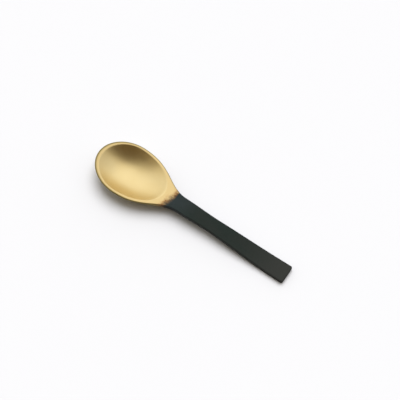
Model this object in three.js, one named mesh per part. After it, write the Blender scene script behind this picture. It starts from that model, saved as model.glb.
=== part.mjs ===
// A teaspoon: a satin gold-coloured metal bowl and neck with a tang, a matt black handle sleeve that
// slides over the tang, and the cured adhesive that holds the two together.
// Millimetres, +Z up. The spoon lies face up on a table at z = 0, with its bowl towards -X and its handle
// towards +X, and its length is centred on the origin. A station is a distance along X from the bowl's tip.
import * as THREE from "three";
import { mergeVertices } from "three/addons/utils/BufferGeometryUtils.js";

// Overall
const TOTAL_LENGTH = 130;

// Bowl, seen from above
const BOWL_WIDTH = 33.4;
const BOWL_WIDEST_AT = 21;
const SHOULDER_PULL = 20; // how far the bowl's sides keep their width behind the widest station
const NECK_PULL = 12.5; // how far the neck keeps its width in front of NECK_AT
const RIM_WIDTH = 1.5;
const TIP_RIM_WIDTH = 2.4;
const HOLLOW_END_AT = 46;
const FRONT_TO_REAR = 12; // half the length over which the hollow's front curve turns into its rear curve

// Bowl, seen from the side
const BOWL_DEPTH = 8;
const BOWL_FLOOR = 1.6;
const BOWL_FULLNESS = 2.2; // exponent of the wall's curve: 2 is a parabola, more is a flatter floor
const RIM_THICKNESS = 1.6;
const THICKEN_FROM = 38; // the rim's edge thickens from here to the neck at the joint
const LIP_SOFTNESS = 0.03; // share of the depth over which the hollow's edge turns into the rim
const REAR_SOFTNESS = 0.15; // and the same at the neck
const SOFT_FROM = 42; // stations between which the one changes into the other
const SOFT_BY = 50;
const BELLY_END_AT = 51.3; // where the bowl's underside has run out into the neck
const REST_SAG = 0.15; // how much is dressed off the underside to make the flat that it rests on

// Neck and handle
const JOINT_AT = 53; // the shoulder where the sleeve starts
const NECK_AT = 58;
const NECK_WIDTH = 9.6;
const NECK_THICKNESS = 3.5;
const WAIST_AT = 80;
const WAIST_WIDTH = 8.6;
const END_WIDTH = 11;
const BAR_THICKNESS = 3; // from the waist to the end
const EDGE_ROUND = 0.4;
const END_CORNER_ROUND = 1;

// Height of the top edge above the table
const TIP_HEIGHT = 11.2;
const RIM_HEIGHT = BOWL_DEPTH + BOWL_FLOOR;
const NECK_HEIGHT = 7.9;
const MID_AT = 91;
const MID_HEIGHT = 5.85;
const HEEL_LENGTH = 7; // the last stretch of the handle, which lies flat on the table
const TIP_SLOPE = -0.08;

// Tang, adhesive and slot
const TANG_LENGTH = 50;
const TANG_WIDTH = 7;
const TANG_END_WIDTH = 5;
const TANG_END_ROUND = 2;
const TANG_THICKNESS = 1.2;
const NOTCH_DEPTH = 0.8;
const NOTCH_HALF_LENGTH = 1.6;
const NOTCHES_AT = [14, 32]; // from the shoulder
const BOND_LINE = 0.3; // adhesive between the tang and the wall of the slot
const TOUCH_GAP = 0.03; // left between the adhesive and what it touches
const JOINT_GAP = 0.3; // between the shoulder and the mouth of the sleeve

// Fineness of the meshes
const FRONT_STEPS = 22;
const SHOULDER_STEPS = 22;
const ACROSS_STEPS = 4;
const ROLL_STEPS = 2;
const STATION_STEP = 3;
const NOTCH_STEPS = 6;
const ROLL_ROWS = 2 * (ROLL_STEPS + 1);
const BISECTIONS = 40;
const END_ROUND_STEPS = 4;
const HOLLOW_RINGS = [0.985, 0.95, 0.9, 0.82, 0.73, 0.63, 0.52, 0.41, 0.3, 0.2, 0.1];
const UNDERSIDE_RINGS = [0.97, 0.92, 0.85, 0.76, 0.66, 0.56, 0.46, 0.36, 0.27, 0.2, 0.15];

const GOLD_METAL = new THREE.MeshStandardMaterial({ color: 0xe3bd6e, roughness: 0.32, metalness: 1 });
const BLACK_FINISH = new THREE.MeshStandardMaterial({ color: 0x2b302e, roughness: 0.6, metalness: 0 });
const CURED_ADHESIVE = new THREE.MeshStandardMaterial({ color: 0xb08d4a, roughness: 0.4, metalness: 0 });

const { lerp, smoothstep } = THREE.MathUtils;
const HEEL_AT = TOTAL_LENGTH - HEEL_LENGTH;
const MOUTH_AT = JOINT_AT + JOINT_GAP;
const NOTCH_STEP = (2 * NOTCH_HALF_LENGTH) / NOTCH_STEPS;
const DEEPEST = new THREE.Vector2(BOWL_WIDEST_AT, 0);

/** A point in the spoon's frame from its station, its distance from the middle plane and its height. */
function at(station, y, z) {
  return new THREE.Vector3(station - TOTAL_LENGTH / 2, y, z);
}

/** A smooth height curve through [station, height] points, with the slope given at both ends. */
function splineThrough(points, startSlope, endSlope) {
  const last = points.length - 1;
  const gap = (i) => points[i + 1][0] - points[i][0];
  const rise = (i) => (points[i + 1][1] - points[i][1]) / gap(i);
  // The slopes that keep the curvature continuous, by elimination down the points and back up.
  const ratio = [0];
  const slope = [startSlope];
  for (let i = 1; i < last; i++) {
    const pivot = 2 * (gap(i - 1) + gap(i)) - gap(i) * ratio[i - 1];
    ratio[i] = gap(i - 1) / pivot;
    slope[i] = (3 * (rise(i - 1) * gap(i) + rise(i) * gap(i - 1)) - gap(i) * slope[i - 1]) / pivot;
  }
  slope[last] = endSlope;
  for (let i = last - 1; i > 0; i--) slope[i] -= ratio[i] * slope[i + 1];
  return (station) => {
    let i = 0;
    while (i < last - 1 && station > points[i + 1][0]) i++;
    const t = (station - points[i][0]) / gap(i);
    const u = 1 - t;
    const fromSlopes = gap(i) * t * u * (slope[i] * u - slope[i + 1] * t);
    return points[i][1] * u * u * (1 + 2 * t) + points[i + 1][1] * t * t * (3 - 2 * t) + fromSlopes;
  };
}

const risingPart = splineThrough(
  [
    [0, TIP_HEIGHT],
    [BOWL_WIDEST_AT, RIM_HEIGHT],
    [JOINT_AT, NECK_HEIGHT],
    [MID_AT, MID_HEIGHT],
    [HEEL_AT, BAR_THICKNESS],
  ],
  TIP_SLOPE,
  0,
);

/** Height of the rim, the neck and the handle's top face. */
function topHeight(station) {
  return station < HEEL_AT ? risingPart(station) : BAR_THICKNESS;
}

/** Thickness of the neck and the handle. */
function barThickness(station) {
  return lerp(NECK_THICKNESS, BAR_THICKNESS, smoothstep(station, JOINT_AT, WAIST_AT));
}

/** Thickness of the bowl's edge, up to the joint. */
function edgeThickness(station) {
  return lerp(RIM_THICKNESS, NECK_THICKNESS, smoothstep(station, THICKEN_FROM, JOINT_AT));
}

const shoulderCurve = new THREE.CubicBezierCurve(
  new THREE.Vector2(BOWL_WIDEST_AT, BOWL_WIDTH / 2),
  new THREE.Vector2(BOWL_WIDEST_AT + SHOULDER_PULL, BOWL_WIDTH / 2),
  new THREE.Vector2(NECK_AT - NECK_PULL, NECK_WIDTH / 2),
  new THREE.Vector2(NECK_AT, NECK_WIDTH / 2),
);

/** The parameter at which the shoulder curve reaches a station. */
function shoulderParameter(station) {
  let low = 0;
  let high = 1;
  for (let i = 0; i < BISECTIONS; i++) {
    const middle = (low + high) / 2;
    if (shoulderCurve.getPoint(middle).x < station) low = middle;
    else high = middle;
  }
  return (low + high) / 2;
}

/** Half the outline's width, from the widest station of the bowl to the end of the handle. */
function halfWidth(station) {
  if (station < NECK_AT) return shoulderCurve.getPoint(shoulderParameter(station)).y;
  if (station < WAIST_AT) return lerp(NECK_WIDTH, WAIST_WIDTH, smoothstep(station, NECK_AT, WAIST_AT)) / 2;
  const along = (station - WAIST_AT) / (TOTAL_LENGTH - WAIST_AT);
  return lerp(WAIST_WIDTH, END_WIDTH, along * (1 + along - along * along)) / 2;
}

/** How far in and how far down each point of a rounded edge lies from the sharp corner at the top. */
function edgeRoll(thickness, round) {
  const top = [];
  const bottom = [];
  for (let k = 0; k <= ROLL_STEPS; k++) {
    const turn = (k / ROLL_STEPS) * (Math.PI / 2);
    top.push([round * (1 - Math.sin(turn)), round * (1 - Math.cos(turn))]);
    bottom.push([round * (1 - Math.cos(turn)), thickness - round * (1 - Math.sin(turn))]);
  }
  return [...top, ...bottom];
}

/** A rounded rectangle across the spoon, anticlockwise seen from the handle's end. */
function section({ station, half, top, bottom, round }) {
  const roll = edgeRoll(top - bottom, round);
  const inner = half - round;
  const across = Array.from({ length: ACROSS_STEPS + 1 }, (_, i) => lerp(inner, -inner, i / ACROSS_STEPS));
  return [
    ...across.map((y) => at(station, y, top)),
    ...roll.slice(1).map(([inset, drop]) => at(station, inset - half, top - drop)),
    ...across.slice(0, -1).reverse().map((y) => at(station, y, bottom)),
    ...roll.slice(1, -1).reverse().map(([inset, drop]) => at(station, half - inset, top - drop)),
  ];
}

/** A closed surface collected as triangles, which turns into one indexed geometry. */
class Surface {
  corners = [];

  triangle(a, b, c) {
    this.corners.push(a, b, c);
  }

  quad(a, b, c, d) {
    this.triangle(a, b, c);
    this.triangle(a, c, d);
  }

  /** Joins each closed ring of points to the next; inward turns the faces round, for a cavity. */
  skin(rings, inward = false) {
    for (let r = 1; r < rings.length; r++) {
      const from = rings[r - 1];
      const to = rings[r];
      from.forEach((point, j) => {
        const next = (j + 1) % from.length;
        if (inward) this.quad(point, to[j], to[next], from[next]);
        else this.quad(point, from[next], to[next], to[j]);
      });
    }
  }

  /** Closes a ring with a fan round one point. */
  cap(ring, middle, inward = false) {
    ring.forEach((point, j) => {
      const next = ring[(j + 1) % ring.length];
      if (inward) this.triangle(middle, next, point);
      else this.triangle(middle, point, next);
    });
  }

  geometry() {
    const soup = new THREE.BufferGeometry().setFromPoints(this.corners);
    const merged = mergeVertices(soup, 1e-4);
    merged.computeVertexNormals();
    return merged;
  }
}

function middleOf(ring) {
  const sum = ring.reduce((total, point) => total.add(point), new THREE.Vector3());
  return sum.divideScalar(ring.length);
}

function namedMesh(name, surface, material) {
  const mesh = new THREE.Mesh(surface.geometry(), material);
  mesh.name = name;
  return mesh;
}

/** Stations from one end to the other, at most a step apart, with both ends. */
function stationsBetween(from, to, step) {
  const count = Math.ceil((to - from) / step);
  return Array.from({ length: count + 1 }, (_, i) => lerp(from, to, i / count));
}

/** [distance before the end, inset] of each section that rounds off the end of a bar. */
function endRounding(round) {
  return Array.from({ length: END_ROUND_STEPS }, (_, i) => {
    const turn = ((i + 1) / END_ROUND_STEPS) * (Math.PI / 2);
    return [round * (1 - Math.sin(turn)), round * (1 - Math.cos(turn))];
  });
}

// ---- The tang, and what fits round it ----

/** Half the tang's width: a taper, with rounded notches that key the adhesive. */
function tangHalfWidth(station, notched) {
  const along = (station - JOINT_AT) / TANG_LENGTH;
  const plain = lerp(TANG_WIDTH, TANG_END_WIDTH, along) / 2;
  const notchAt = NOTCHES_AT.find((n) => Math.abs(station - JOINT_AT - n) < NOTCH_HALF_LENGTH);
  if (!notched || notchAt === undefined) return plain;
  const off = (station - JOINT_AT - notchAt) / NOTCH_HALF_LENGTH;
  return plain - (NOTCH_DEPTH * (1 + Math.cos(Math.PI * off))) / 2;
}

/** Sections of the tang from a station to its rounded end, larger all round by grow. */
function tangSections({ from, grow, notched }) {
  const end = JOINT_AT + TANG_LENGTH + grow;
  const rounding = endRounding(TANG_END_ROUND);
  const notchEdges = NOTCHES_AT.flatMap((n) =>
    stationsBetween(JOINT_AT + n - NOTCH_HALF_LENGTH, JOINT_AT + n + NOTCH_HALF_LENGTH, NOTCH_STEP),
  );
  const straight = stationsBetween(from, end - TANG_END_ROUND, STATION_STEP)
    .concat(notched ? notchEdges : [])
    .sort((a, b) => a - b)
    .filter((s, i, all) => i === 0 || s - all[i - 1] > 1e-3);
  const cut = (station, inset) => {
    const centre = topHeight(station) - barThickness(station) / 2;
    const reach = TANG_THICKNESS / 2 + grow;
    return section({
      station,
      half: tangHalfWidth(station, notched) + grow - inset,
      top: centre + reach,
      bottom: centre - reach,
      round: EDGE_ROUND,
    });
  };
  return [...straight.map((s) => cut(s, 0)), ...rounding.map(([before, inset]) => cut(end - before, inset))];
}

// ---- Bowl, neck and tang: one metal piece ----

/** The outline from the joint round the tip and back to the joint, each point with its outward normal. */
function bowlOutline() {
  const jointParameter = shoulderParameter(JOINT_AT);
  const shoulder = [];
  for (let i = 0; i < SHOULDER_STEPS; i++) {
    const t = jointParameter * (1 - i / SHOULDER_STEPS);
    const tangent = shoulderCurve.getTangent(t);
    shoulder.push({ point: shoulderCurve.getPoint(t), normal: new THREE.Vector2(-tangent.y, tangent.x) });
  }
  const front = [];
  for (let i = 0; i <= FRONT_STEPS; i++) {
    const turn = (Math.PI / 2) * (1 - i / FRONT_STEPS);
    const point = new THREE.Vector2(BOWL_WIDEST_AT * (1 - Math.cos(turn)), (BOWL_WIDTH / 2) * Math.sin(turn));
    const normal = new THREE.Vector2((-Math.cos(turn) * BOWL_WIDTH) / 2, Math.sin(turn) * BOWL_WIDEST_AT);
    front.push({ point, normal: normal.normalize() });
  }
  shoulder[0].normal.set(0, 1); // the edge meets the joint's section square on
  const farSide = [...shoulder, ...front];
  const mirror = (v) => new THREE.Vector2(v.x, -v.y);
  const mirrored = farSide.map(({ point, normal }) => ({ point: mirror(point), normal: mirror(normal) }));
  return [...farSide, ...mirrored.slice(0, -1).reverse()];
}

/** How far out a point is: 0 at the deepest point, 1 on the hollow's edge. */
function hollowShare({ x, y }) {
  const along = x - BOWL_WIDEST_AT;
  const behind = smoothstep(along, -FRONT_TO_REAR, FRONT_TO_REAR);
  const length = lerp(BOWL_WIDEST_AT - TIP_RIM_WIDTH, HOLLOW_END_AT - BOWL_WIDEST_AT, behind);
  return Math.hypot(along / length, y / (BOWL_WIDTH / 2 - RIM_WIDTH));
}

/** The point on the hollow's edge in a direction from the deepest point. */
function hollowEdge(direction) {
  const point = new THREE.Vector2();
  let near = 0;
  let far = TOTAL_LENGTH;
  for (let i = 0; i < BISECTIONS; i++) {
    const middle = (near + far) / 2;
    point.copy(DEEPEST).addScaledVector(direction, middle);
    if (hollowShare(point) < 1) near = middle;
    else far = middle;
  }
  return point;
}

/** Height of the top face: a flat rim that turns over a lip into the hollow, more softly at the neck. */
function hollowHeight(point) {
  const wall = 1 - Math.pow(hollowShare(point), BOWL_FULLNESS);
  const softness = lerp(LIP_SOFTNESS, REAR_SOFTNESS, smoothstep(point.x, SOFT_FROM, SOFT_BY));
  return topHeight(point.x) - (BOWL_DEPTH * (wall + Math.hypot(wall, softness))) / 2;
}

/** The underside's curve: 1 at the deepest point, 0 at the edge. */
function bellyCurve(share) {
  return 1 - Math.pow(Math.min(share, 1), BOWL_FULLNESS);
}

/** How far the belly hangs, as a share of the most, below the underside of the edge. */
function bellyShare({ x, y }) {
  if (x < BOWL_WIDEST_AT) {
    const ahead = (BOWL_WIDEST_AT - x) / (BOWL_WIDEST_AT - EDGE_ROUND);
    return bellyCurve(Math.hypot(ahead, y / (BOWL_WIDTH / 2 - EDGE_ROUND)));
  }
  const behind = (x - BOWL_WIDEST_AT) / (BELLY_END_AT - BOWL_WIDEST_AT);
  const aside = Math.abs(y) / (halfWidth(x) - EDGE_ROUND);
  return bellyCurve(behind) ** 2 * bellyCurve(aside);
}

function undersideHeight(point) {
  const sag = BOWL_DEPTH + BOWL_FLOOR - RIM_THICKNESS + REST_SAG;
  return Math.max(0, topHeight(point.x) - edgeThickness(point.x) - sag * bellyShare(point));
}

/** The ring a share of the way from the deepest point to an edge ring, at heights from a function. */
function ringTowards(edge, share, height) {
  return edge.map((point) => {
    const placed = DEEPEST.clone().lerp(point, share);
    return at(placed.x, placed.y, height(placed));
  });
}

function bowlAndTang() {
  const surface = new Surface();
  const outline = bowlOutline();
  const joint = section({
    station: JOINT_AT,
    half: halfWidth(JOINT_AT),
    top: NECK_HEIGHT,
    bottom: NECK_HEIGHT - NECK_THICKNESS,
    round: EDGE_ROUND,
  });

  // The rounded edge, row by row from the top face to the underside.
  const rolled = outline.map(({ point, normal }) =>
    edgeRoll(edgeThickness(point.x), EDGE_ROUND).map(([inset, drop]) => {
      const moved = point.clone().addScaledVector(normal, -inset);
      return at(moved.x, moved.y, topHeight(point.x) - drop);
    }),
  );
  const rows = Array.from({ length: ROLL_ROWS }, (_, k) => rolled.map((profile) => profile[k]));
  for (let k = 1; k < rows.length; k++)
    for (let i = 1; i < outline.length; i++)
      surface.quad(rows[k - 1][i - 1], rows[k][i - 1], rows[k][i], rows[k - 1][i]);

  // The top face: a flat rim, then the hollow.
  const rowAsRing = (row, across) => [...row, ...across.slice(1, -1).reverse()];
  const jointTop = joint.slice(0, ACROSS_STEPS + 1);
  const topRing = rowAsRing(rows[0], jointTop);
  const flat = (ring) => ring.map((p) => new THREE.Vector2(p.x + TOTAL_LENGTH / 2, p.y));
  const lip = flat(topRing).map((point) => hollowEdge(point.sub(DEEPEST).normalize()));
  const hollow = [1, ...HOLLOW_RINGS].map((share) => ringTowards(lip, share, hollowHeight));
  surface.skin([topRing, ...hollow]);
  surface.cap(hollow.at(-1), at(DEEPEST.x, 0, BOWL_FLOOR));

  // The underside, dressed flat where it rests.
  const bottomAt = ACROSS_STEPS + ROLL_ROWS - 1;
  const jointBottom = joint.slice(bottomAt, bottomAt + ACROSS_STEPS + 1).reverse();
  const bottomRing = rowAsRing(rows.at(-1), jointBottom);
  const underside = UNDERSIDE_RINGS.map((share) => ringTowards(flat(bottomRing), share, undersideHeight));
  surface.skin([bottomRing, ...underside], true);
  surface.cap(underside.at(-1), at(DEEPEST.x, 0, 0), true);

  // The shoulder, and the tang behind it.
  const tang = tangSections({ from: JOINT_AT, grow: 0, notched: true });
  surface.skin([joint, ...tang]);
  surface.cap(tang.at(-1), middleOf(tang.at(-1)));
  return namedMesh("bowl_and_tang", surface, GOLD_METAL);
}

// ---- Adhesive: a thin sock between the tang and the slot ----

function tangAdhesive() {
  const surface = new Surface();
  const outside = tangSections({ from: MOUTH_AT, grow: BOND_LINE - TOUCH_GAP, notched: false });
  const inside = tangSections({ from: MOUTH_AT, grow: TOUCH_GAP, notched: true });
  surface.skin(outside);
  surface.cap(outside.at(-1), middleOf(outside.at(-1)));
  surface.skin([outside[0], ...inside], true);
  surface.cap(inside.at(-1), middleOf(inside.at(-1)), true);
  return namedMesh("tang_adhesive", surface, CURED_ADHESIVE);
}

// ---- Handle sleeve: a black bar with a slot for the tang ----

function handleSleeve() {
  const surface = new Surface();
  const cut = (station, inset, roundOff) =>
    section({
      station,
      half: halfWidth(station) - inset,
      top: topHeight(station) - roundOff,
      bottom: topHeight(station) - barThickness(station) + roundOff,
      round: EDGE_ROUND,
    });
  const arched = stationsBetween(MOUTH_AT, HEEL_AT, STATION_STEP).slice(0, -1);
  const heel = stationsBetween(HEEL_AT, TOTAL_LENGTH - END_CORNER_ROUND, STATION_STEP);
  const body = [...arched, ...heel].map((s) => cut(s, 0, 0));
  const end = endRounding(END_CORNER_ROUND).map(([before, inset]) =>
    cut(TOTAL_LENGTH - before, inset, (inset * EDGE_ROUND) / END_CORNER_ROUND),
  );
  const outside = [...body, ...end];
  const slot = tangSections({ from: MOUTH_AT, grow: BOND_LINE, notched: false });
  surface.skin(outside);
  surface.cap(outside.at(-1), middleOf(outside.at(-1)));
  surface.skin([outside[0], ...slot], true);
  surface.cap(slot.at(-1), middleOf(slot.at(-1)), true);
  return namedMesh("handle_sleeve", surface, BLACK_FINISH);
}

const spoon = new THREE.Group();
spoon.add(bowlAndTang(), tangAdhesive(), handleSleeve());

export default spoon;
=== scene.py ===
"""Looks of a small spoon: a satin gold-coloured bowl and neck, and a matt black handle with a squared end.

Lengths are in millimetres until a mesh is made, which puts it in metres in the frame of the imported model.
A station is a distance along X from the tip of the bowl.
"""

import math

import bmesh
import bpy
import numpy as np
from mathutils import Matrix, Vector


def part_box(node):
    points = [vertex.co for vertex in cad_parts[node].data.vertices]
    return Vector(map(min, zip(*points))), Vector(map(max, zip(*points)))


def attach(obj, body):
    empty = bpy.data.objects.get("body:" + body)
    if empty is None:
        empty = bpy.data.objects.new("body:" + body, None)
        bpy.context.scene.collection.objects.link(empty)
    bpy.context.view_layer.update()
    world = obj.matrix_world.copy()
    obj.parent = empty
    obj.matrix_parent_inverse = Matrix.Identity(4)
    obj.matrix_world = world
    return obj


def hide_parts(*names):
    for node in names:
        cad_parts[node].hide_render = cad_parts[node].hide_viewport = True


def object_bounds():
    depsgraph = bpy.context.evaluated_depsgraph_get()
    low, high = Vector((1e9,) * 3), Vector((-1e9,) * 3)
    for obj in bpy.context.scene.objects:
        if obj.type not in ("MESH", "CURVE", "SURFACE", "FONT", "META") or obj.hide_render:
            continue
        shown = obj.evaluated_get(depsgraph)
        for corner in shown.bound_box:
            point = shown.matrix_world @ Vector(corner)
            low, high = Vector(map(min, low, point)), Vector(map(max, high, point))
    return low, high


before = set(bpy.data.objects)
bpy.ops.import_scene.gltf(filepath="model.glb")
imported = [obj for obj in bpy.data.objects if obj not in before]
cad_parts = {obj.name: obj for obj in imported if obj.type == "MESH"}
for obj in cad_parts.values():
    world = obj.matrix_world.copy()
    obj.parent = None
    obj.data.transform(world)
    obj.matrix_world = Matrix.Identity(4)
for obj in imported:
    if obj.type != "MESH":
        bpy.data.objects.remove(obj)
cad_box = [list(corner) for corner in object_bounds()]

MM = 0.001
cad_low, cad_high = (np.array(corner) / MM for corner in cad_box)
sleeve_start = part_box("handle_sleeve")[0][0] / MM
metal_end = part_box("bowl_and_tang")[1][0] / MM

# Sizes that the frame gives
LENGTH = cad_high[0] - cad_low[0]
BOWL_WIDTH = cad_high[1] - cad_low[1]
TIP_HEIGHT = cad_high[2]
MOUTH_AT = sleeve_start - cad_low[0]
TANG_END_AT = metal_end - cad_low[0]

# Bowl
BOWL_WIDEST_AT = 21.0
SHOULDER_PULL = 20.0
NECK_PULL = 12.5
RIM_WIDTH = 1.5
TIP_RIM_WIDTH = 2.4
HOLLOW_END_AT = 46.0
FRONT_TO_REAR = 12.0  # half the length over which the hollow's front curve turns into its rear curve
SOFT_FROM = 42.0  # stations over which the hollow's lip turns from LIP_SOFTNESS to REAR_SOFTNESS
SOFT_BY = 50.0
BOWL_DEPTH = 8.0
BOWL_FLOOR = 1.6
BOWL_FULLNESS = 2.2
RIM_THICKNESS = 1.6
THICKEN_FROM = 38.0
BELLY_END_AT = 51.3
REST_SAG = 0.15
LIP_SOFTNESS = 0.03
REAR_SOFTNESS = 0.15

# Neck and handle
JOINT_GAP = 0.3
JOINT_AT = MOUTH_AT - JOINT_GAP
NECK_AT = 58.0
NECK_WIDTH = 9.6
NECK_THICKNESS = 3.5
WAIST_AT = 80.0
WAIST_WIDTH = 8.6
END_WIDTH = 11.0
BAR_THICKNESS = 3.0
EDGE_ROUND = 0.4
END_CORNER_ROUND = 1.0

# Height of the top edge
RIM_HEIGHT = BOWL_DEPTH + BOWL_FLOOR
NECK_HEIGHT = 7.9
MID_AT = 91.0
MID_HEIGHT = 5.85
HEEL_AT = LENGTH - 7.0
TIP_SLOPE = -0.08

# Tang and slot
TANG_WIDTH = 7.0
TANG_END_WIDTH = 5.0
TANG_END_ROUND = 2.0
TANG_THICKNESS = 1.2
NOTCH_DEPTH = 0.8
NOTCH_HALF_LENGTH = 1.6
NOTCHES_AT = (14.0, 32.0)
BOND_LINE = 0.3
SEAM = 0.06  # what shows of the joint's gap once the black finish has run into it

# Tone of painted shade on the gold, which the material turns into its colour: 0 is plain gold, and the rim,
# its outer edge and the underside get painted shade in place of the dim reflections of the shaded floor and
# the dark surroundings
HOLLOW_TONE = 0.0
RIM_SHADE_TONE = 0.5  # on the underside and on the rim at the neck
TIP_RIM_SHADE_TONE = 0.63
TIP_CORNER_SHADE_TONE = 1.0
REAR_CORNER_SHADE_TONE = 0.6
EDGE_SHADE_TONE = 1.0

# Fineness of the meshes
SHARP_ANGLE = 50  # degrees between two faces from which their edge is drawn sharp
CURVE_SAMPLES = 2001
HALVINGS = 40
HOLLOW_CROWDING = 1.4  # above 1, the rings draw together towards the edge
UNDERSIDE_CROWDING = 1.2
WELD_DISTANCE = 1e-4
FRONT_STEPS = 72
SHOULDER_STEPS = 72
ACROSS_STEPS = 24
ROLL_STEPS = 6
STATION_STEP = 0.75
END_ROUND_STEPS = 10
RIM_RINGS = 10
HOLLOW_RINGS = 64
UNDERSIDE_RINGS = 56


def lerp(a, b, t):
    return a + (b - a) * t


def smoothstep(x, low, high):
    t = np.clip((x - low) / (high - low), 0.0, 1.0)
    return t * t * (3 - 2 * t)


# ---- The spoon's shape ----


def spline_through(points, start_slope, end_slope):
    """A height curve through (station, height) points with continuous curvature and the given end slopes."""
    stations, heights = (np.array(column) for column in zip(*points))
    gaps = np.diff(stations)
    rises = np.diff(heights) / gaps
    last = len(points) - 1
    system = np.eye(last + 1)
    right = np.array([start_slope] + [0.0] * (last - 1) + [end_slope])
    for i in range(1, last):
        system[i, i - 1 : i + 2] = gaps[i], 2 * (gaps[i - 1] + gaps[i]), gaps[i - 1]
        right[i] = 3 * (rises[i - 1] * gaps[i] + rises[i] * gaps[i - 1])
    slopes = np.linalg.solve(system, right)

    def height(station):
        i = np.clip(np.searchsorted(stations, station) - 1, 0, last - 1)
        t = (station - stations[i]) / gaps[i]
        u = 1 - t
        from_slopes = gaps[i] * t * u * (slopes[i] * u - slopes[i + 1] * t)
        return heights[i] * u * u * (1 + 2 * t) + heights[i + 1] * t * t * (3 - 2 * t) + from_slopes

    return height


rising_part = spline_through(
    [
        (0.0, TIP_HEIGHT),
        (BOWL_WIDEST_AT, RIM_HEIGHT),
        (JOINT_AT, NECK_HEIGHT),
        (MID_AT, MID_HEIGHT),
        (HEEL_AT, BAR_THICKNESS),
    ],
    TIP_SLOPE,
    0.0,
)


def top_height(station):
    """Height of the rim, the neck and the handle's top face."""
    return np.where(station < HEEL_AT, rising_part(np.minimum(station, HEEL_AT)), BAR_THICKNESS)


def bar_thickness(station):
    """Thickness of the neck and the handle."""
    return lerp(NECK_THICKNESS, BAR_THICKNESS, smoothstep(station, JOINT_AT, WAIST_AT))


def edge_thickness(station):
    """Thickness of the bowl's edge, up to the joint."""
    return lerp(RIM_THICKNESS, NECK_THICKNESS, smoothstep(station, THICKEN_FROM, JOINT_AT))


SHOULDER_POINTS = np.array(
    [
        (BOWL_WIDEST_AT, BOWL_WIDTH / 2),
        (BOWL_WIDEST_AT + SHOULDER_PULL, BOWL_WIDTH / 2),
        (NECK_AT - NECK_PULL, NECK_WIDTH / 2),
        (NECK_AT, NECK_WIDTH / 2),
    ]
)


def shoulder_curve(t):
    """Points and tangents of the cubic curve from the bowl's widest station to the neck."""
    t = np.atleast_1d(t)[:, None]
    u = 1 - t
    p0, p1, p2, p3 = SHOULDER_POINTS
    points = u**3 * p0 + 3 * u * u * t * p1 + 3 * u * t * t * p2 + t**3 * p3
    tangents = 3 * (u * u * (p1 - p0) + 2 * u * t * (p2 - p1) + t * t * (p3 - p2))
    return points, tangents


CURVE_SHARES = np.linspace(0.0, 1.0, CURVE_SAMPLES)
CURVE_STATIONS = shoulder_curve(CURVE_SHARES)[0][:, 0]


def half_width(station):
    """Half the outline's width, from the bowl's widest station to the end of the handle."""
    station = np.asarray(station, float)
    t = np.interp(station, CURVE_STATIONS, CURVE_SHARES)
    shoulder = shoulder_curve(t.ravel())[0][:, 1].reshape(station.shape)
    neck = lerp(NECK_WIDTH, WAIST_WIDTH, smoothstep(station, NECK_AT, WAIST_AT)) / 2
    along = (station - WAIST_AT) / (LENGTH - WAIST_AT)
    grip = lerp(WAIST_WIDTH, END_WIDTH, along * (1 + along - along * along)) / 2
    return np.where(station < NECK_AT, shoulder, np.where(station < WAIST_AT, neck, grip))


def edge_roll(thickness, round_):
    """(inset, drop) of each point of a rounded edge, from the top face to the underside."""
    turn = np.linspace(0, math.pi / 2, ROLL_STEPS + 1)
    top = np.stack([round_ * (1 - np.sin(turn)), round_ * (1 - np.cos(turn))], -1)
    bottom = np.stack([round_ * (1 - np.cos(turn)), thickness - round_ * (1 - np.sin(turn))], -1)
    return np.vstack([top, bottom])


def section(station, half, top, bottom, round_):
    """A rounded rectangle across the spoon, anticlockwise seen from the handle's end."""
    roll = edge_roll(top - bottom, round_)
    across = np.linspace(half - round_, round_ - half, ACROSS_STEPS + 1)
    right = [(inset - half, top - drop) for inset, drop in roll[1:]]
    left = [(half - inset, top - drop) for inset, drop in roll[1:-1][::-1]]
    ring = [(y, top) for y in across] + right + [(y, bottom) for y in across[::-1][1:]] + left
    return np.array([(station, y, z) for y, z in ring])


def bowl_outline():
    """Points and outward normals from the joint round the tip and back to the joint."""
    joint_share = np.interp(JOINT_AT, CURVE_STATIONS, CURVE_SHARES)
    points, tangents = shoulder_curve(np.linspace(joint_share, 0, SHOULDER_STEPS + 1)[:-1])
    normals = np.stack([-tangents[:, 1], tangents[:, 0]], -1)
    normals[0] = (0, 1)
    turn = np.linspace(math.pi / 2, 0, FRONT_STEPS + 1)
    half = BOWL_WIDTH / 2
    front = np.stack([BOWL_WIDEST_AT * (1 - np.cos(turn)), half * np.sin(turn)], -1)
    front_normals = np.stack([-half * np.cos(turn), BOWL_WIDEST_AT * np.sin(turn)], -1)
    points = np.vstack([points, front])
    normals = np.vstack([normals, front_normals])
    normals /= np.linalg.norm(normals, axis=1, keepdims=True)
    mirror = np.array([1, -1])
    return np.vstack([points, points[-2::-1] * mirror]), np.vstack([normals, normals[-2::-1] * mirror])


def hollow_share(points):
    """How far out each point is: 0 at the deepest point, 1 on the hollow's edge."""
    x, y = (points - (BOWL_WIDEST_AT, 0)).T
    behind = smoothstep(x, -FRONT_TO_REAR, FRONT_TO_REAR)
    length = lerp(BOWL_WIDEST_AT - TIP_RIM_WIDTH, HOLLOW_END_AT - BOWL_WIDEST_AT, behind)
    return np.hypot(x / length, y / (BOWL_WIDTH / 2 - RIM_WIDTH))


def hollow_height(points):
    """Height of the top face: a flat rim that turns over a small lip into the hollow, softly at the neck."""
    wall = 1 - hollow_share(points) ** BOWL_FULLNESS
    softness = lerp(LIP_SOFTNESS, REAR_SOFTNESS, smoothstep(points[:, 0], SOFT_FROM, SOFT_BY))
    wall = (wall + np.sqrt(wall * wall + softness**2)) / 2
    return top_height(points[:, 0]) - BOWL_DEPTH * wall


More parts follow.
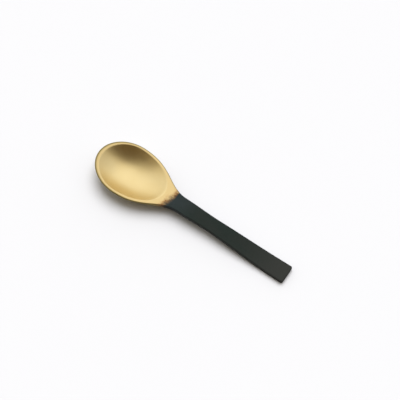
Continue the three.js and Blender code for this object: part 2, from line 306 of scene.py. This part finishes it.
def hollow_edge(outwards):
    """The point on the hollow's edge in each of the unit directions out from the deepest point."""
    near, far = np.zeros(len(outwards)), np.full(len(outwards), LENGTH)
    for _ in range(HALVINGS):
        middle = (near + far) / 2
        inside = hollow_share((BOWL_WIDEST_AT, 0) + outwards * middle[:, None]) < 1
        near, far = np.where(inside, middle, near), np.where(inside, far, middle)
    return (BOWL_WIDEST_AT, 0) + outwards * near[:, None]


def belly_curve(share):
    """How deep the belly is, from 1 in its middle to 0 at its edge."""
    return 1 - np.minimum(share, 1) ** BOWL_FULLNESS


def underside_height(points):
    """Height of the bowl's underside: it runs out into the neck and is flat where it rests."""
    x, y = points.T
    half = BOWL_WIDTH / 2 - EDGE_ROUND
    ahead = np.hypot((BOWL_WIDEST_AT - x) / (BOWL_WIDEST_AT - EDGE_ROUND), y / half)
    behind = np.maximum(x - BOWL_WIDEST_AT, 0) / (BELLY_END_AT - BOWL_WIDEST_AT)
    aside = np.abs(y) / (half_width(np.maximum(x, BOWL_WIDEST_AT)) - EDGE_ROUND)
    rear = belly_curve(behind) ** 2 * belly_curve(aside)
    belly = np.where(x < BOWL_WIDEST_AT, belly_curve(ahead), rear)
    sag = BOWL_DEPTH + BOWL_FLOOR - RIM_THICKNESS + REST_SAG
    return np.maximum(0, top_height(x) - edge_thickness(x) - sag * belly)


# ---- Meshes ----


class Surface:
    """Quads and triangles between rows of points (station, y, z), turned into one closed mesh.

    Each point has a tone of painted shade from 0 to 1, which the material reads as the attribute "tone".
    """

    def __init__(self):
        self.points = []
        self.tones = []
        self.faces = []

    def add(self, points, tone=HOLLOW_TONE):
        start = len(self.points)
        self.points.extend(map(tuple, points))
        self.tones.extend(np.broadcast_to(tone, len(points)))
        return list(range(start, len(self.points)))

    def add_rows(self, rows, tones):
        tones = [HOLLOW_TONE] * len(rows) if tones is None else tones
        return [self.add(row, tone) for row, tone in zip(rows, tones)]

    def skin(self, rings, inward=False, tones=None):
        """Joins each closed ring of points to the next; inward turns the faces round, for a cavity."""
        indices = self.add_rows(rings, tones)
        for one, two in zip(indices, indices[1:]):
            for j, point in enumerate(one):
                k = (j + 1) % len(one)
                quad = (point, one[k], two[k], two[j])
                self.faces.append(quad[::-1] if inward else quad)
        return indices[-1]

    def strip(self, rows, tones=None):
        """Joins open rows of points."""
        indices = self.add_rows(rows, tones)
        for one, two in zip(indices, indices[1:]):
            for j in range(1, len(one)):
                self.faces.append((one[j - 1], two[j - 1], two[j], one[j]))

    def cap(self, ring, inward=False):
        """Closes a ring with a fan round its middle."""
        middle = self.add([np.mean([self.points[i] for i in ring], axis=0)])[0]
        for j, point in enumerate(ring):
            fan = (middle, point, ring[(j + 1) % len(ring)])
            self.faces.append(fan[::-1] if inward else fan)

    def piece(self, name, node, material):
        """The mesh object that stands for a CAD node, which it hides."""
        points = (np.array(self.points) - (LENGTH / 2, 0, 0)) * MM
        mesh = bpy.data.meshes.new(name)
        mesh.from_pydata(points.tolist(), [], self.faces)
        mesh.attributes.new("tone", "FLOAT", "POINT").data.foreach_set("value", self.tones)
        shape = bmesh.new()
        shape.from_mesh(mesh)
        bmesh.ops.remove_doubles(shape, verts=shape.verts, dist=MM * WELD_DISTANCE)
        bmesh.ops.dissolve_degenerate(shape, edges=shape.edges, dist=MM * WELD_DISTANCE)
        bmesh.ops.recalc_face_normals(shape, faces=shape.faces)
        for face in shape.faces:
            face.smooth = True
        shape.to_mesh(mesh)
        shape.free()
        mesh.set_sharp_from_angle(angle=math.radians(SHARP_ANGLE))
        mesh.materials.append(material)
        made = bpy.data.objects.new(name, mesh)
        bpy.context.collection.objects.link(made)
        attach(made, "root")
        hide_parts(node)
        return made


def stations_between(start, end, step):
    return np.linspace(start, end, math.ceil((end - start) / step) + 1)


def end_rounding(round_):
    """(distance before the end, inset) of each section that rounds off the end of a bar."""
    turn = np.linspace(0, math.pi / 2, END_ROUND_STEPS + 1)[1:]
    return np.stack([round_ * (1 - np.sin(turn)), round_ * (1 - np.cos(turn))], -1)


def tang_half_width(station, notched):
    along = (station - JOINT_AT) / (TANG_END_AT - JOINT_AT)
    half = lerp(TANG_WIDTH, TANG_END_WIDTH, along) / 2
    for notch in NOTCHES_AT:
        off = (station - JOINT_AT - notch) / NOTCH_HALF_LENGTH
        if notched and abs(off) < 1:
            half -= NOTCH_DEPTH * (1 + math.cos(math.pi * off)) / 2
    return half


def tang_sections(start, grow, notched):
    """Sections of the tang to its rounded end, larger all round by grow."""
    end = TANG_END_AT + grow

    def cut(station, inset):
        centre = float(top_height(station) - bar_thickness(station) / 2)
        reach = TANG_THICKNESS / 2 + grow
        half = tang_half_width(station, notched) + grow - inset
        return section(station, half, centre + reach, centre - reach, EDGE_ROUND)

    straight = [cut(s, 0) for s in stations_between(start, end - TANG_END_ROUND, STATION_STEP)]
    return straight + [cut(end - before, inset) for before, inset in end_rounding(TANG_END_ROUND)]


def rings_between(outer, inner, shares, height):
    """Rings of points from one plan ring towards another, or a point, at heights from a function."""
    rings = []
    for share in shares:
        plan = lerp(outer, inner, share)
        rings.append(np.column_stack([plan, height(plan)]))
    return rings


def painted_shade_along(points, at_tip, at_neck):
    """The tone of painted shade along the rim, which is deepest round the tip."""
    return lerp(at_tip, at_neck, smoothstep(points[:, 0], TIP_RIM_WIDTH, HOLLOW_END_AT))


def rim_painted_shade(plan, inward):
    """The tone of painted shade on the rim's top face, darkest at its outer corner; inward is 0 at its outer
    corner and 1 at the hollow.
    """
    corner = painted_shade_along(plan, TIP_CORNER_SHADE_TONE, REAR_CORNER_SHADE_TONE)
    return lerp(corner, painted_shade_along(plan, TIP_RIM_SHADE_TONE, RIM_SHADE_TONE), min(1, 2 * inward))


def bowl_and_tang(material):
    """The bowl, its rim and the neck, with the tang behind the shoulder."""
    surface = Surface()
    points, normals = bowl_outline()
    deepest = np.array([BOWL_WIDEST_AT, 0.0])
    joint_top = float(top_height(JOINT_AT))
    joint = section(JOINT_AT, float(half_width(JOINT_AT)), joint_top, joint_top - NECK_THICKNESS, EDGE_ROUND)

    rolls = np.array([edge_roll(t, EDGE_ROUND) for t in edge_thickness(points[:, 0])])
    rows = []
    for k in range(rolls.shape[1]):
        plan = points - normals * rolls[:, k, :1]
        rows.append(np.column_stack([plan, top_height(points[:, 0]) - rolls[:, k, 1]]))
    # Painted shade: the rim's outer corner and its whole edge take dark tones, in place of reflections of
    # the shaded floor
    surface.strip(rows, [rim_painted_shade(points, 0)] + [EDGE_SHADE_TONE] * (len(rows) - 1))

    top_ring = np.vstack([rows[0], joint[1:ACROSS_STEPS][::-1]])
    plan = top_ring[:, :2]
    outwards = (plan - deepest) / np.linalg.norm(plan - deepest, axis=1, keepdims=True)
    lip = hollow_edge(outwards)
    on_rim = rings_between(plan, lip, np.linspace(0, 1, RIM_RINGS + 1)[1:-1], hollow_height)
    inwards = np.linspace(0, 1, HOLLOW_RINGS + 1)[:-1] ** HOLLOW_CROWDING
    in_hollow = rings_between(lip, deepest, inwards, hollow_height)
    # Painted shade on the rim's top face, darker towards its outer corner, and half of it on the hollow's
    # lip
    tones = [rim_painted_shade(plan, k / RIM_RINGS) for k in range(RIM_RINGS)]
    tones += [lerp(HOLLOW_TONE, RIM_SHADE_TONE, 0.5)] + [HOLLOW_TONE] * (len(in_hollow) - 1)
    surface.cap(surface.skin([top_ring, *on_rim, *in_hollow], tones=tones))

    bottom_at = ACROSS_STEPS + rolls.shape[1] - 1
    joint_bottom = joint[bottom_at : bottom_at + ACROSS_STEPS + 1]
    bottom_ring = np.vstack([rows[-1], joint_bottom[1:-1]])
    inwards = np.linspace(0, 1, UNDERSIDE_RINGS + 1)[1:-1] ** UNDERSIDE_CROWDING
    belly = rings_between(bottom_ring[:, :2], deepest, inwards, underside_height)
    # Painted shade: the underside takes a dark tone all over, and its edge the darkest
    tones = [EDGE_SHADE_TONE] + [RIM_SHADE_TONE] * len(belly)
    surface.cap(surface.skin([bottom_ring, *belly], inward=True, tones=tones), inward=True)

    tang = tang_sections(JOINT_AT, 0, True)
    surface.cap(surface.skin([joint, *tang]))
    made = surface.piece("gold_bowl", "bowl_and_tang", material)


def handle_sleeve(material):
    """The black bar with its blind slot."""
    surface = Surface()

    def cut(station, inset, round_off):
        top = float(top_height(station))
        bottom = top - float(bar_thickness(station))
        half = float(half_width(station)) - inset
        return section(station, half, top - round_off, bottom + round_off, EDGE_ROUND)

    mouth = JOINT_AT + SEAM
    arched = [cut(s, 0, 0) for s in stations_between(mouth, HEEL_AT, STATION_STEP)[:-1]]
    heel = [cut(s, 0, 0) for s in stations_between(HEEL_AT, LENGTH - END_CORNER_ROUND, STATION_STEP)]
    end = [
        cut(LENGTH - before, inset, inset * EDGE_ROUND / END_CORNER_ROUND)
        for before, inset in end_rounding(END_CORNER_ROUND)
    ]
    outside = [*arched, *heel, *end]
    surface.cap(surface.skin(outside))
    slot = tang_sections(mouth, BOND_LINE, False)
    surface.cap(surface.skin([outside[0], *slot], inward=True), inward=True)
    made = surface.piece("black_handle", "handle_sleeve", material)


# ---- Materials ----


class Nodes:
    """A material's node tree, with short calls for the nodes used here."""

    def __init__(self, name):
        self.material = bpy.data.materials.new(name)
        self.material.use_nodes = True
        self.tree = self.material.node_tree
        self.shader = self.tree.nodes["Principled BSDF"]
        self.place = self.new("ShaderNodeTexCoord").outputs["Object"]

    def new(self, kind, **settings):
        node = self.tree.nodes.new(kind)
        for key, value in settings.items():
            setattr(node, key, value)
        return node

    def feed(self, socket, value):
        if isinstance(value, bpy.types.NodeSocket):
            self.tree.links.new(value, socket)
        else:
            socket.default_value = value

    def math(self, operation, *values, clamp=False):
        node = self.new("ShaderNodeMath", operation=operation, use_clamp=clamp)
        for socket, value in zip(node.inputs, values):
            self.feed(socket, value)
        return node.outputs[0]

    def noise(self, scale, stretch=(1, 1, 1), detail=2.0, roughness=0.5, at=(0, 0, 0)):
        """Noise whose grains are 1 / scale metres across, drawn out along the axes with a low stretch."""
        mapping = self.new("ShaderNodeMapping")
        mapping.inputs["Scale"].default_value = stretch
        mapping.inputs["Location"].default_value = at
        self.feed(mapping.inputs["Vector"], self.place)
        node = self.new("ShaderNodeTexNoise")
        node.inputs["Scale"].default_value = scale
        node.inputs["Detail"].default_value = detail
        node.inputs["Roughness"].default_value = roughness
        self.feed(node.inputs["Vector"], mapping.outputs[0])
        return node.outputs["Fac"]

    def ramp(self, value, low, high, to_low=0.0, to_high=1.0):
        """A smooth step from one value to another as the input goes from low to high."""
        node = self.new("ShaderNodeMapRange", interpolation_type="SMOOTHSTEP")
        self.feed(node.inputs["Value"], value)
        for socket, number in zip(list(node.inputs)[1:5], (low, high, to_low, to_high)):
            self.feed(socket, number)
        return node.outputs[0]

    def mix(self, share, one, two):
        node = self.new("ShaderNodeMix", data_type="RGBA")
        self.feed(node.inputs["Factor"], share)
        self.feed(node.inputs["A"], one)
        self.feed(node.inputs["B"], two)
        return node.outputs["Result"]

    def axis(self, name):
        """The object's own X, Y or Z, in metres."""
        node = self.new("ShaderNodeSeparateXYZ")
        self.feed(node.inputs[0], self.place)
        return node.outputs[name]

    def bump(self, height, distance, strength=1.0):
        node = self.new("ShaderNodeBump")
        node.inputs["Distance"].default_value = distance
        node.inputs["Strength"].default_value = strength
        self.feed(node.inputs["Height"], height)
        return node.outputs[0]


def color(*rgb):
    return (*rgb, 1.0)


GOLD = color(0.68, 0.545, 0.28)
GOLD_DEEP = color(0.64, 0.49, 0.22)
# Painted shade: a darker gold for the rim and a much darker one for the edges and underside, in place of
# their dim reflections
GOLD_RIM_PAINTED_SHADE = color(0.60, 0.455, 0.215)
GOLD_EDGE_PAINTED_SHADE = color(0.20, 0.155, 0.055)
GOLD_ROUGHNESS = (0.36, 0.44)
DEEP_SHARE = 0.25  # how much the patches of deeper gold show
BRUSH_HEIGHT = 0.000004
BLACK = color(0.0055, 0.0092, 0.0072)
BLACK_WARM = color(0.0070, 0.0096, 0.0076)
BLACK_PALE_END = color(0.0135, 0.0143, 0.0122)
# Painted reflection: a bluish black beside the neck
BLACK_BLUE_REFLECTION = color(0.0125, 0.0175, 0.0187)
BLACK_SHEEN = 0.15
BLACK_ROUGHNESS = (0.55, 0.66)
BLACK_GRAIN_HEIGHT = 0.000015
TARNISH = color(0.40, 0.15, 0.04)
SCORCH = color(0.085, 0.045, 0.02)
SCORCH_SHARE = 0.85
AMBER = color(0.45, 0.28, 0.08)
AMBER_DEEP = color(0.36, 0.20, 0.05)
AMBER_ROUGHNESS = (0.3, 0.45)
AMBER_HEIGHT = 0.00002

# Stations where the black finish changes
# The painted bluish reflection on the black fades out from COOL_FROM to COOL_BY
COOL_FROM = 50.0
COOL_BY = 72.0
PALE_FROM = 95.0
FRAY_AT = 51.4  # where it fades out on the gold, in the middle of the neck
FRAY_SLANT = 0.3  # how much further back that is for each step towards +Y
FRAY_WANDER = 0.005  # metres that the frayed edge strays, all told
BLACK_FADE = (-1.4, 2.2)  # where each layer starts and is whole, from FRAY_AT
SCORCH_FADE = (-2.8, 1.0)
STAIN_FADE = (-4.0, 0.5)


def station_x(station):
    """A station as X in metres."""
    return (station - LENGTH / 2) * MM


def frayed(nodes, along, fade, share=1.0):
    """How much of a layer there is, as it fades in from the gold towards the handle."""
    start, end = (station_x(FRAY_AT + offset) for offset in fade)
    return nodes.ramp(along, start, end, 0.0, share)


def black_tint(nodes):
    """The black finish: a painted bluish reflection beside the neck, paler at the end, with faint clouds all
    over.
    """
    clouds = nodes.noise(140, stretch=(0.4, 1, 1), detail=4)
    reflection_near_neck = nodes.ramp(nodes.axis("X"), station_x(COOL_FROM), station_x(COOL_BY), 1.0, 0.0)
    near_end = nodes.ramp(nodes.axis("X"), station_x(PALE_FROM), station_x(LENGTH))
    share = nodes.math("MULTIPLY", reflection_near_neck, nodes.ramp(clouds, 0.3, 0.7, 0.5, 1.0))
    warm = nodes.mix(nodes.ramp(clouds, 0.35, 0.65), BLACK, BLACK_WARM)
    return nodes.mix(share, nodes.mix(near_end, warm, BLACK_PALE_END), BLACK_BLUE_REFLECTION)


def gold_material():
    """Satin gold-coloured metal with painted shade on the rim, the edges and the underside, and the frayed
    edge of the black finish on the neck.
    """
    nodes = Nodes("satin_gold")
    brushing = nodes.noise(2600, stretch=(0.06, 1, 1), detail=3, roughness=0.6)
    cross = nodes.noise(2200, stretch=(1, 0.08, 1), detail=3, roughness=0.6, at=(0.3, 0.1, 0))
    patches = nodes.noise(90, detail=3)
    lines = nodes.math("ADD", brushing, nodes.math("MULTIPLY", cross, 0.5))
    gold = nodes.mix(nodes.ramp(patches, 0.35, 0.7), GOLD, GOLD_DEEP)
    gold = nodes.mix(DEEP_SHARE, GOLD, gold)

    # Painted shade: the tone darkens the gold on the rim and the underside, and most on the edges
    tone = nodes.new("ShaderNodeAttribute", attribute_name="tone").outputs["Fac"]
    gold = nodes.mix(nodes.ramp(tone, HOLLOW_TONE, RIM_SHADE_TONE), gold, GOLD_RIM_PAINTED_SHADE)
    gold = nodes.mix(nodes.ramp(tone, RIM_SHADE_TONE, EDGE_SHADE_TONE), gold, GOLD_EDGE_PAINTED_SHADE)

    fray = nodes.noise(800, stretch=(0.6, 1, 1), detail=6, roughness=0.75)
    wander = nodes.math("MULTIPLY", nodes.math("SUBTRACT", fray, 0.5), FRAY_WANDER)
    slant = nodes.math("MULTIPLY", nodes.axis("Y"), -FRAY_SLANT)
    along = nodes.math("ADD", nodes.math("ADD", nodes.axis("X"), wander), slant)
    black = frayed(nodes, along, BLACK_FADE)
    scorch = frayed(nodes, along, SCORCH_FADE, SCORCH_SHARE)
    stain = frayed(nodes, along, STAIN_FADE)
    blotches = nodes.noise(420, detail=4, at=(0.02, 0.05, 0))
    stain = nodes.math("MULTIPLY", stain, nodes.ramp(blotches, 0.42, 0.68, 0.1, 0.9))
    gold = nodes.mix(scorch, nodes.mix(stain, gold, TARNISH), SCORCH)

    shader = nodes.shader
    nodes.feed(shader.inputs["Base Color"], nodes.mix(black, gold, black_tint(nodes)))
    nodes.feed(shader.inputs["Metallic"], nodes.math("SUBTRACT", 1.0, black, clamp=True))
    shader.inputs["Specular IOR Level"].default_value = BLACK_SHEEN
    satin = nodes.ramp(lines, 0.5, 1.0, *GOLD_ROUGHNESS)
    rough = nodes.math("ADD", satin, nodes.math("MULTIPLY", nodes.math("MAXIMUM", black, stain), 0.25))
    nodes.feed(shader.inputs["Roughness"], rough)
    nodes.feed(shader.inputs["Normal"], nodes.bump(lines, BRUSH_HEIGHT, 0.6))
    return nodes.material


def black_material():
    """Matt black finish with a fine dry texture."""
    nodes = Nodes("matt_black")
    grain = nodes.noise(4200, detail=2)
    peel = nodes.noise(900, detail=3)
    shader = nodes.shader
    nodes.feed(shader.inputs["Base Color"], black_tint(nodes))
    nodes.feed(shader.inputs["Roughness"], nodes.ramp(peel, 0.3, 0.7, *BLACK_ROUGHNESS))
    shader.inputs["Specular IOR Level"].default_value = BLACK_SHEEN
    height = nodes.math("ADD", nodes.math("MULTIPLY", grain, 0.4), peel)
    nodes.feed(shader.inputs["Normal"], nodes.bump(height, BLACK_GRAIN_HEIGHT, 0.5))
    return nodes.material


def adhesive_material():
    """Cured amber epoxy, inside the handle."""
    nodes = Nodes("cured_epoxy")
    clouds = nodes.noise(700, detail=3)
    amber = nodes.mix(nodes.ramp(clouds, 0.3, 0.7), AMBER, AMBER_DEEP)
    nodes.feed(nodes.shader.inputs["Base Color"], amber)
    nodes.feed(nodes.shader.inputs["Roughness"], nodes.ramp(clouds, 0.3, 0.7, *AMBER_ROUGHNESS))
    nodes.feed(nodes.shader.inputs["Normal"], nodes.bump(clouds, AMBER_HEIGHT, 0.4))
    return nodes.material


# ---- Stage, light and camera ----

CAMERA_AZIMUTH = 34.7
CAMERA_ELEVATION = 65.5
CAMERA_DISTANCE = 0.5437
CAMERA_LENS = 85.0
CAMERA_SENSOR = 36.0
CAMERA_NEAREST = 0.01
SHIFT_RIGHT = 0.0213
SHIFT_UP = 0.0405

FLOOR_REACH = 6.0  # metres
FLOOR_SHADE = 0.42

# Each patch of the tent lies round a direction, and fades in from its edge angle to its middle angle
TENT_LIGHT = 1.25
WINDOW_LIGHT = 0.25
WINDOW_TOWARDS = (190, 45)
WINDOW_EDGE = 80
WINDOW_MIDDLE = 10
DARK_TOWARDS = (27, 5)
DARK_EDGE = 75
DARK_MIDDLE = 53
DARK_COLOR = (0.085, 0.052, 0.018)
WARM_EDGE = 92
WARM_MIDDLE = 58
WARM_COLOR = (0.98, 0.92, 0.74)
SIDE_TOWARDS = (115, 10)
SIDE_EDGE = 55
SIDE_MIDDLE = 15
SIDE_SHADE = 0.68

LAMP_TOWARDS = (200, 65)
LAMP_ANGLE = 50
LAMP_STRENGTH = 4.9
LAMP_COLOR = (0.94, 0.945, 0.995)


def direction(azimuth, elevation):
    """Unit vector towards an azimuth and elevation, in degrees, where azimuth 0 is -Y and 90 is +X."""
    a, e = math.radians(azimuth), math.radians(elevation)
    return Vector((math.sin(a) * math.cos(e), -math.cos(a) * math.cos(e), math.sin(e)))


def make_floor():
    mesh = bpy.data.meshes.new("floor")
    corners = [(x * FLOOR_REACH, y * FLOOR_REACH, 0) for x, y in ((-1, -1), (1, -1), (1, 1), (-1, 1))]
    mesh.from_pydata(corners, [], [(0, 1, 2, 3)])
    floor = bpy.data.objects.new("floor", mesh)
    bpy.context.collection.objects.link(floor)
    nodes = Nodes("pale_floor")
    nodes.shader.inputs["Base Color"].default_value = color(*[FLOOR_SHADE] * 3)
    nodes.shader.inputs["Roughness"].default_value = 1.0
    nodes.shader.inputs["Specular IOR Level"].default_value = 0.0
    mesh.materials.append(nodes.material)


def make_world():
    """A white tent: brighter in a wide window behind, dark and warm low in front, dimmer at one side."""
    world = bpy.data.worlds.new("studio")
    bpy.context.scene.world = world
    world.use_nodes = True
    tree = world.node_tree
    place = tree.nodes.new("ShaderNodeTexCoord").outputs["Generated"]

    def patch(towards, edge, middle, low, high):
        """From low outside the edge angle to high inside the middle angle round a direction."""
        dot = tree.nodes.new("ShaderNodeVectorMath")
        dot.operation = "DOT_PRODUCT"
        dot.inputs[1].default_value = direction(*towards)
        tree.links.new(place, dot.inputs[0])
        fall = tree.nodes.new("ShaderNodeMapRange")
        fall.interpolation_type = "SMOOTHSTEP"
        limits = (math.cos(math.radians(edge)), math.cos(math.radians(middle)), low, high)
        for socket, number in zip(list(fall.inputs)[1:5], limits):
            socket.default_value = number
        tree.links.new(dot.outputs["Value"], fall.inputs["Value"])
        return fall.outputs[0]

    def mixed(share, one, two):
        """From one colour, or a socket, to a second colour as share goes from 0 to 1."""
        node = tree.nodes.new("ShaderNodeMix")
        node.data_type = "RGBA"
        node.inputs["B"].default_value = color(*two)
        tree.links.new(share, node.inputs["Factor"])
        if isinstance(one, tuple):
            node.inputs["A"].default_value = color(*one)
        else:
            tree.links.new(one, node.inputs["A"])
        return node.outputs["Result"]

    warm = mixed(patch(DARK_TOWARDS, WARM_EDGE, WARM_MIDDLE, 0.0, 1.0), (1, 1, 1), WARM_COLOR)
    dark = mixed(patch(DARK_TOWARDS, DARK_EDGE, DARK_MIDDLE, 0.0, 1.0), warm, DARK_COLOR)
    strength = tree.nodes.new("ShaderNodeMath")
    strength.operation = "MULTIPLY"
    window = patch(WINDOW_TOWARDS, WINDOW_EDGE, WINDOW_MIDDLE, TENT_LIGHT, TENT_LIGHT + WINDOW_LIGHT)
    tree.links.new(window, strength.inputs[0])
    tree.links.new(patch(SIDE_TOWARDS, SIDE_EDGE, SIDE_MIDDLE, 1.0, SIDE_SHADE), strength.inputs[1])
    background = tree.nodes["Background"]
    tree.links.new(dark, background.inputs["Color"])
    tree.links.new(strength.outputs[0], background.inputs["Strength"])


def make_lamp():
    """A wide soft lamp overhead, behind the spoon. It lights the floor, and metal doesn't reflect it."""
    lamp = bpy.data.objects.new("overhead", bpy.data.lights.new("overhead", "SUN"))
    lamp.data.angle = math.radians(LAMP_ANGLE)
    lamp.data.energy = LAMP_STRENGTH
    lamp.data.color = LAMP_COLOR
    lamp.visible_glossy = False
    lamp.rotation_mode = "QUATERNION"
    lamp.rotation_quaternion = direction(*LAMP_TOWARDS).to_track_quat("Z", "Y")
    bpy.context.collection.objects.link(lamp)


def make_camera():
    camera = bpy.data.objects.new("camera", bpy.data.cameras.new("camera"))
    camera.data.lens = CAMERA_LENS
    camera.data.sensor_width = CAMERA_SENSOR
    camera.data.clip_start = CAMERA_NEAREST
    camera.data.shift_x = SHIFT_RIGHT
    camera.data.shift_y = SHIFT_UP
    back = direction(CAMERA_AZIMUTH, CAMERA_ELEVATION)
    camera.location = back * CAMERA_DISTANCE
    camera.rotation_mode = "QUATERNION"
    camera.rotation_quaternion = back.to_track_quat("Z", "Y")
    bpy.context.collection.objects.link(camera)
    bpy.context.scene.camera = camera


bpy.context.scene.view_settings.view_transform = "Standard"
make_camera()
make_world()
make_lamp()
make_floor()
bowl_and_tang(gold_material())
handle_sleeve(black_material())
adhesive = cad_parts["tang_adhesive"]
adhesive.data.materials.clear()
adhesive.data.materials.append(adhesive_material())
